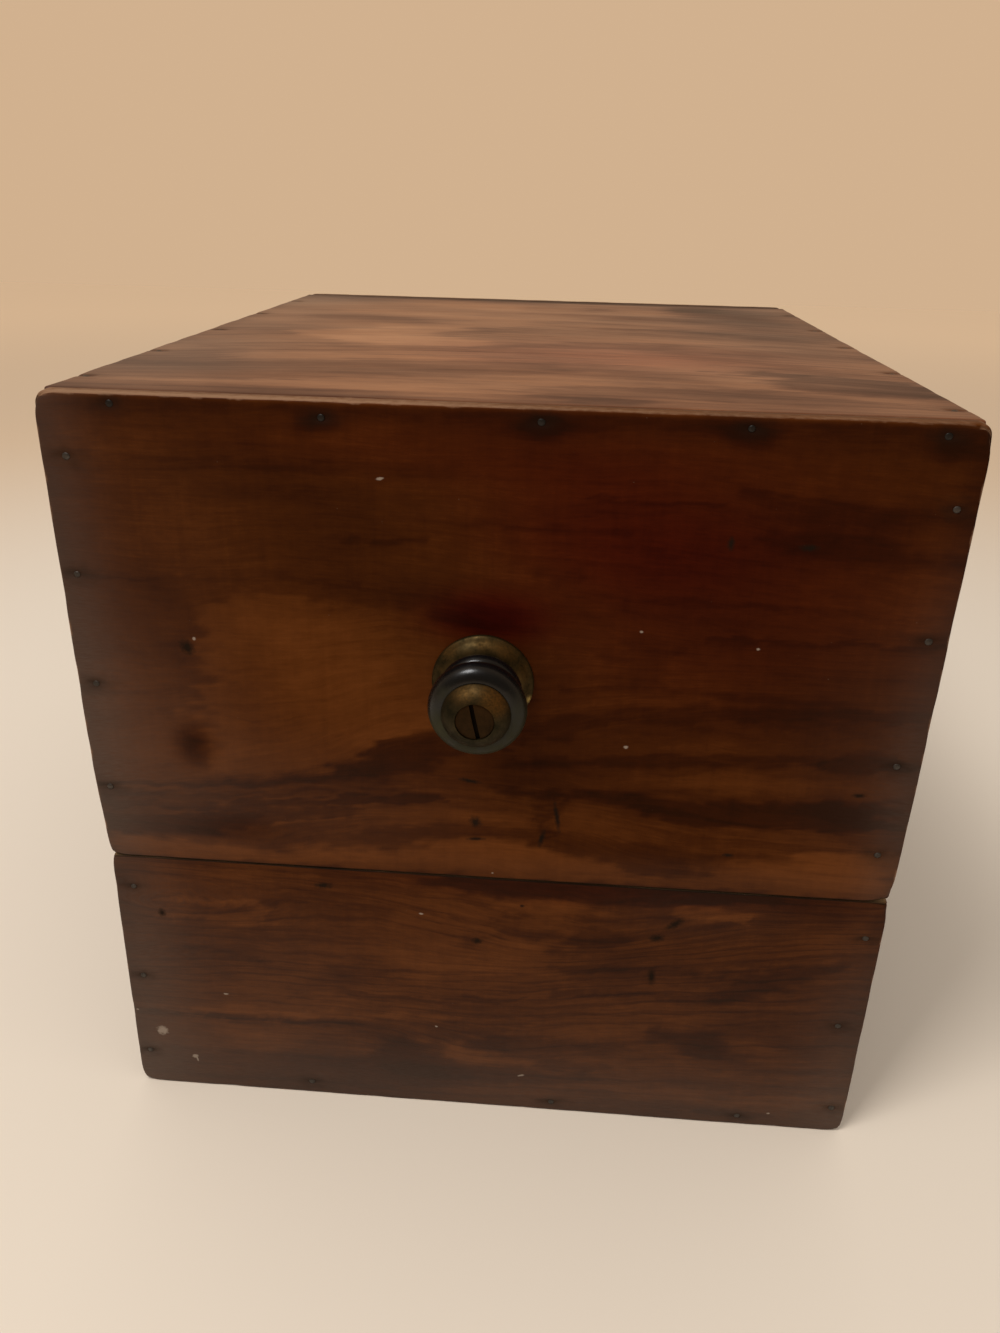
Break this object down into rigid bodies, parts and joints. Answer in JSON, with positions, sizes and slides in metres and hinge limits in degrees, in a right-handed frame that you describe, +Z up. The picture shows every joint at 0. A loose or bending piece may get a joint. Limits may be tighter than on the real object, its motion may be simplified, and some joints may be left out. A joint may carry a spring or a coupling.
{
  "type": "wooden organizer box",
  "caption": "Old nailed pine storage box, sawn into a base and a deep hinged lid, with a turned knob on the lid's front.",
  "frame": {"origin": "centre of the closed box's underside, on the surface that it stands on", "axes": "+Z up, the front with the knob faces -Y, +X is to the right seen from the front"},
  "size_m": [0.24, 0.3273, 0.236],
  "materials": {
    "varnished_pine": "dark red-brown varnish over bold pine grain, worn at the edges, bare inside",
    "old_iron": "dark rusted iron, dull",
    "black_polish": "black polished turning, glossy, lightly worn",
    "worn_brass": "tarnished brass, brown-green in the hollows, brighter where handled",
    "hinge_brass": "dull aged brass"
  },
  "bodies": {
    "base": {"base_front_board": "varnished_pine", "base_back_board": "varnished_pine", "base_left_side": "varnished_pine", "base_right_side": "varnished_pine", "base_bottom_board": "varnished_pine", "base_front_nails": "old_iron", "base_back_nails": "old_iron", "base_bottom_nails": "old_iron", "left_hinge_base_leaf": "hinge_brass", "right_hinge_base_leaf": "hinge_brass", "left_hinge_pin": "hinge_brass", "right_hinge_pin": "hinge_brass", "base_hinge_screws": "hinge_brass"},
    "lid": {"lid_front_board": "varnished_pine", "lid_back_board": "varnished_pine", "lid_left_side": "varnished_pine", "lid_right_side": "varnished_pine", "lid_top_board": "varnished_pine", "lid_front_nails": "old_iron", "lid_back_nails": "old_iron", "lid_top_nails": "old_iron", "knob_rosette": "worn_brass", "knob_body": "black_polish", "knob_cap": "worn_brass", "knob_bolt": "worn_brass", "knob_washer": "old_iron", "knob_nut": "old_iron", "left_hinge_lid_leaf": "hinge_brass", "right_hinge_lid_leaf": "hinge_brass", "lid_hinge_screws": "hinge_brass"}
  },
  "joints": [
    {"name": "lid_hinge", "type": "hinge", "parent": "base", "child": "lid", "pos_m": [0, 0.1514, 0.0946], "axis": [-1, 0, 0], "range_deg": [0, 132]}
  ]
}
